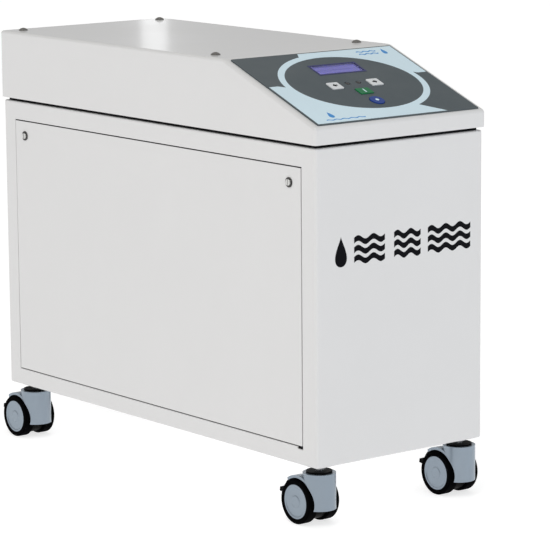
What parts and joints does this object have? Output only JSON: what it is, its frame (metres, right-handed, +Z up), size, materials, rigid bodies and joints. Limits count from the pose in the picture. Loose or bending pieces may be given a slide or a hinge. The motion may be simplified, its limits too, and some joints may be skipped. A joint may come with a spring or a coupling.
{
  "type": "portable reverse osmosis unit",
  "caption": "Tall narrow white cabinet on braked swivel castors, with inset side panels and a top cover whose front slopes down as a control console; makes purified water.",
  "frame": {"origin": "centre of the footprint, on the floor under the castor wheels", "axes": "+Z up; -Y is the front, below the sloped console; +X is to the right as seen from the front"},
  "size_m": [0.247, 0.634, 0.504],
  "materials": {
    "cabinet_white": "satin white powder coat",
    "fastener_steel": "satin plated steel",
    "seal_black": "matt",
    "console_print": "printed polycarbonate, satin, with a pale blue field",
    "display_lens": "clear tinted lens",
    "display_blue": "blue backlit panel in a dark frame",
    "key_white": "satin",
    "key_green": "satin",
    "key_blue": "satin",
    "indicator_dark": "unlit lens",
    "board_green": "solder mask",
    "castor_grey": "satin grey nylon",
    "castor_black": "satin black nylon",
    "tyre_black": "matt polyurethane",
    "stem_steel": "zinc plated",
    "vessel_white": "glazed fibreglass",
    "cap_black": "moulded",
    "membrane_film": "wound film and tape",
    "motor_grey": "grey machine enamel",
    "brass": "as machined",
    "filter_blue": "moulded",
    "cartridge_white": "pleated and spun filter medium",
    "tube_clear": "translucent tube",
    "appliance_black": "moulded",
    "gauge_steel": "polished steel case",
    "needle_black": "painted",
    "power_grey": "plain sheet",
    "fan_black": "moulded"
  },
  "bodies": {
    "cabinet": {"cabinet_shell": "cabinet_white", "side_panel_left": "cabinet_white", "side_panel_right": "cabinet_white", "panel_screws": "fastener_steel", "top_cover": "cabinet_white", "cover_gasket": "seal_black", "cover_screws": "fastener_steel", "control_overlay": "console_print", "display_window": "display_lens", "display_module": "display_blue", "status_leds": "indicator_dark", "control_board": "board_green", "castor_stems": "stem_steel", "pressure_vessels": "vessel_white", "vessel_caps": "cap_black", "membrane_elements": "membrane_film", "vessel_clamps": "fastener_steel", "pump_motor": "motor_grey", "pump_head": "brass", "prefilter_housing": "filter_blue", "prefilter_cartridge": "cartridge_white", "inlet_valve": "brass", "hose_fittings": "fastener_steel", "mains_inlet": "appliance_black", "fan_frame": "fan_black", "pressure_gauge": "gauge_steel", "power_box": "power_grey", "tubing": "tube_clear"},
    "back_key": {"key_back": "key_white"},
    "next_key": {"key_next": "key_white"},
    "start_key": {"key_start": "key_green"},
    "stop_key": {"key_stop": "key_blue"},
    "pump_rotor": {"pump_shaft": "stem_steel"},
    "fan": {"fan_rotor": "fan_black"},
    "rocker": {"mains_switch": "appliance_black"},
    "needle": {"gauge_needle": "needle_black"},
    "fl_fork": {"fl_chassis": "castor_black", "fl_hood": "castor_grey", "fl_axle": "stem_steel"},
    "fl_wheel_pair": {"fl_wheels": "castor_grey", "fl_treads": "tyre_black"},
    "fl_pedal": {"fl_brake": "castor_black"},
    "fr_fork": {"fr_chassis": "castor_black", "fr_hood": "castor_grey", "fr_axle": "stem_steel"},
    "fr_wheel_pair": {"fr_wheels": "castor_grey", "fr_treads": "tyre_black"},
    "fr_pedal": {"fr_brake": "castor_black"},
    "rl_fork": {"rl_chassis": "castor_black", "rl_hood": "castor_grey", "rl_axle": "stem_steel"},
    "rl_wheel_pair": {"rl_wheels": "castor_grey", "rl_treads": "tyre_black"},
    "rl_pedal": {"rl_brake": "castor_black"},
    "rr_fork": {"rr_chassis": "castor_black", "rr_hood": "castor_grey", "rr_axle": "stem_steel"},
    "rr_wheel_pair": {"rr_wheels": "castor_grey", "rr_treads": "tyre_black"},
    "rr_pedal": {"rr_brake": "castor_black"}
  },
  "joints": [
    {"name": "press_back", "type": "slide", "parent": "cabinet", "child": "back_key", "axis": [0, -0.3568, 0.9342], "range_m": [-0.001, 0], "stiffness_N_per_m": 600, "springref_m": 0.001},
    {"name": "press_next", "type": "slide", "parent": "cabinet", "child": "next_key", "axis": [0, -0.3568, 0.9342], "range_m": [-0.001, 0], "stiffness_N_per_m": 600, "springref_m": 0.001},
    {"name": "press_start", "type": "slide", "parent": "cabinet", "child": "start_key", "axis": [0, -0.3568, 0.9342], "range_m": [-0.001, 0], "stiffness_N_per_m": 600, "springref_m": 0.001},
    {"name": "press_stop", "type": "slide", "parent": "cabinet", "child": "stop_key", "axis": [0, -0.3568, 0.9342], "range_m": [-0.001, 0], "stiffness_N_per_m": 600, "springref_m": 0.001},
    {"name": "pump_spin", "type": "hinge", "parent": "cabinet", "child": "pump_rotor", "pos_m": [0.0555, 0.005, 0.139], "axis": [0, 1, 0], "continuous": true},
    {"name": "fan_spin", "type": "hinge", "parent": "cabinet", "child": "fan", "pos_m": [-0.048, 0.275, 0.339], "axis": [0, 1, 0], "continuous": true},
    {"name": "gauge_sweep", "type": "hinge", "parent": "cabinet", "child": "needle", "pos_m": [-0.048, 0.287, 0.252], "axis": [0, -1, 0], "range_deg": [0, 270]},
    {"name": "rocker_tilt", "type": "hinge", "parent": "cabinet", "child": "rocker", "pos_m": [0.074, 0.281, 0.283], "axis": [1, 0, 0], "range_deg": [-18, 0]},
    {"name": "fl_swivel", "type": "hinge", "parent": "cabinet", "child": "fl_fork", "pos_m": [-0.102, -0.297, 0.05], "axis": [0, 0, 1], "continuous": true},
    {"name": "fl_roll", "type": "hinge", "parent": "fl_fork", "child": "fl_wheel_pair", "pos_m": [-0.102, -0.281, 0.025], "axis": [1, 0, 0], "continuous": true},
    {"name": "fl_brake_press", "type": "hinge", "parent": "fl_fork", "child": "fl_pedal", "pos_m": [-0.102, -0.281, 0.025], "axis": [1, 0, 0], "range_deg": [-14, 0]},
    {"name": "fr_swivel", "type": "hinge", "parent": "cabinet", "child": "fr_fork", "pos_m": [0.102, -0.297, 0.05], "axis": [0, 0, 1], "continuous": true},
    {"name": "fr_roll", "type": "hinge", "parent": "fr_fork", "child": "fr_wheel_pair", "pos_m": [0.102, -0.281, 0.025], "axis": [1, 0, 0], "continuous": true},
    {"name": "fr_brake_press", "type": "hinge", "parent": "fr_fork", "child": "fr_pedal", "pos_m": [0.102, -0.281, 0.025], "axis": [1, 0, 0], "range_deg": [-14, 0]},
    {"name": "rl_swivel", "type": "hinge", "parent": "cabinet", "child": "rl_fork", "pos_m": [-0.102, 0.256, 0.05], "axis": [0, 0, 1], "continuous": true},
    {"name": "rl_roll", "type": "hinge", "parent": "rl_fork", "child": "rl_wheel_pair", "pos_m": [-0.102, 0.272, 0.025], "axis": [1, 0, 0], "continuous": true},
    {"name": "rl_brake_press", "type": "hinge", "parent": "rl_fork", "child": "rl_pedal", "pos_m": [-0.102, 0.272, 0.025], "axis": [1, 0, 0], "range_deg": [-14, 0]},
    {"name": "rr_swivel", "type": "hinge", "parent": "cabinet", "child": "rr_fork", "pos_m": [0.102, 0.256, 0.05], "axis": [0, 0, 1], "continuous": true},
    {"name": "rr_roll", "type": "hinge", "parent": "rr_fork", "child": "rr_wheel_pair", "pos_m": [0.102, 0.272, 0.025], "axis": [1, 0, 0], "continuous": true},
    {"name": "rr_brake_press", "type": "hinge", "parent": "rr_fork", "child": "rr_pedal", "pos_m": [0.102, 0.272, 0.025], "axis": [1, 0, 0], "range_deg": [-14, 0]}
  ]
}
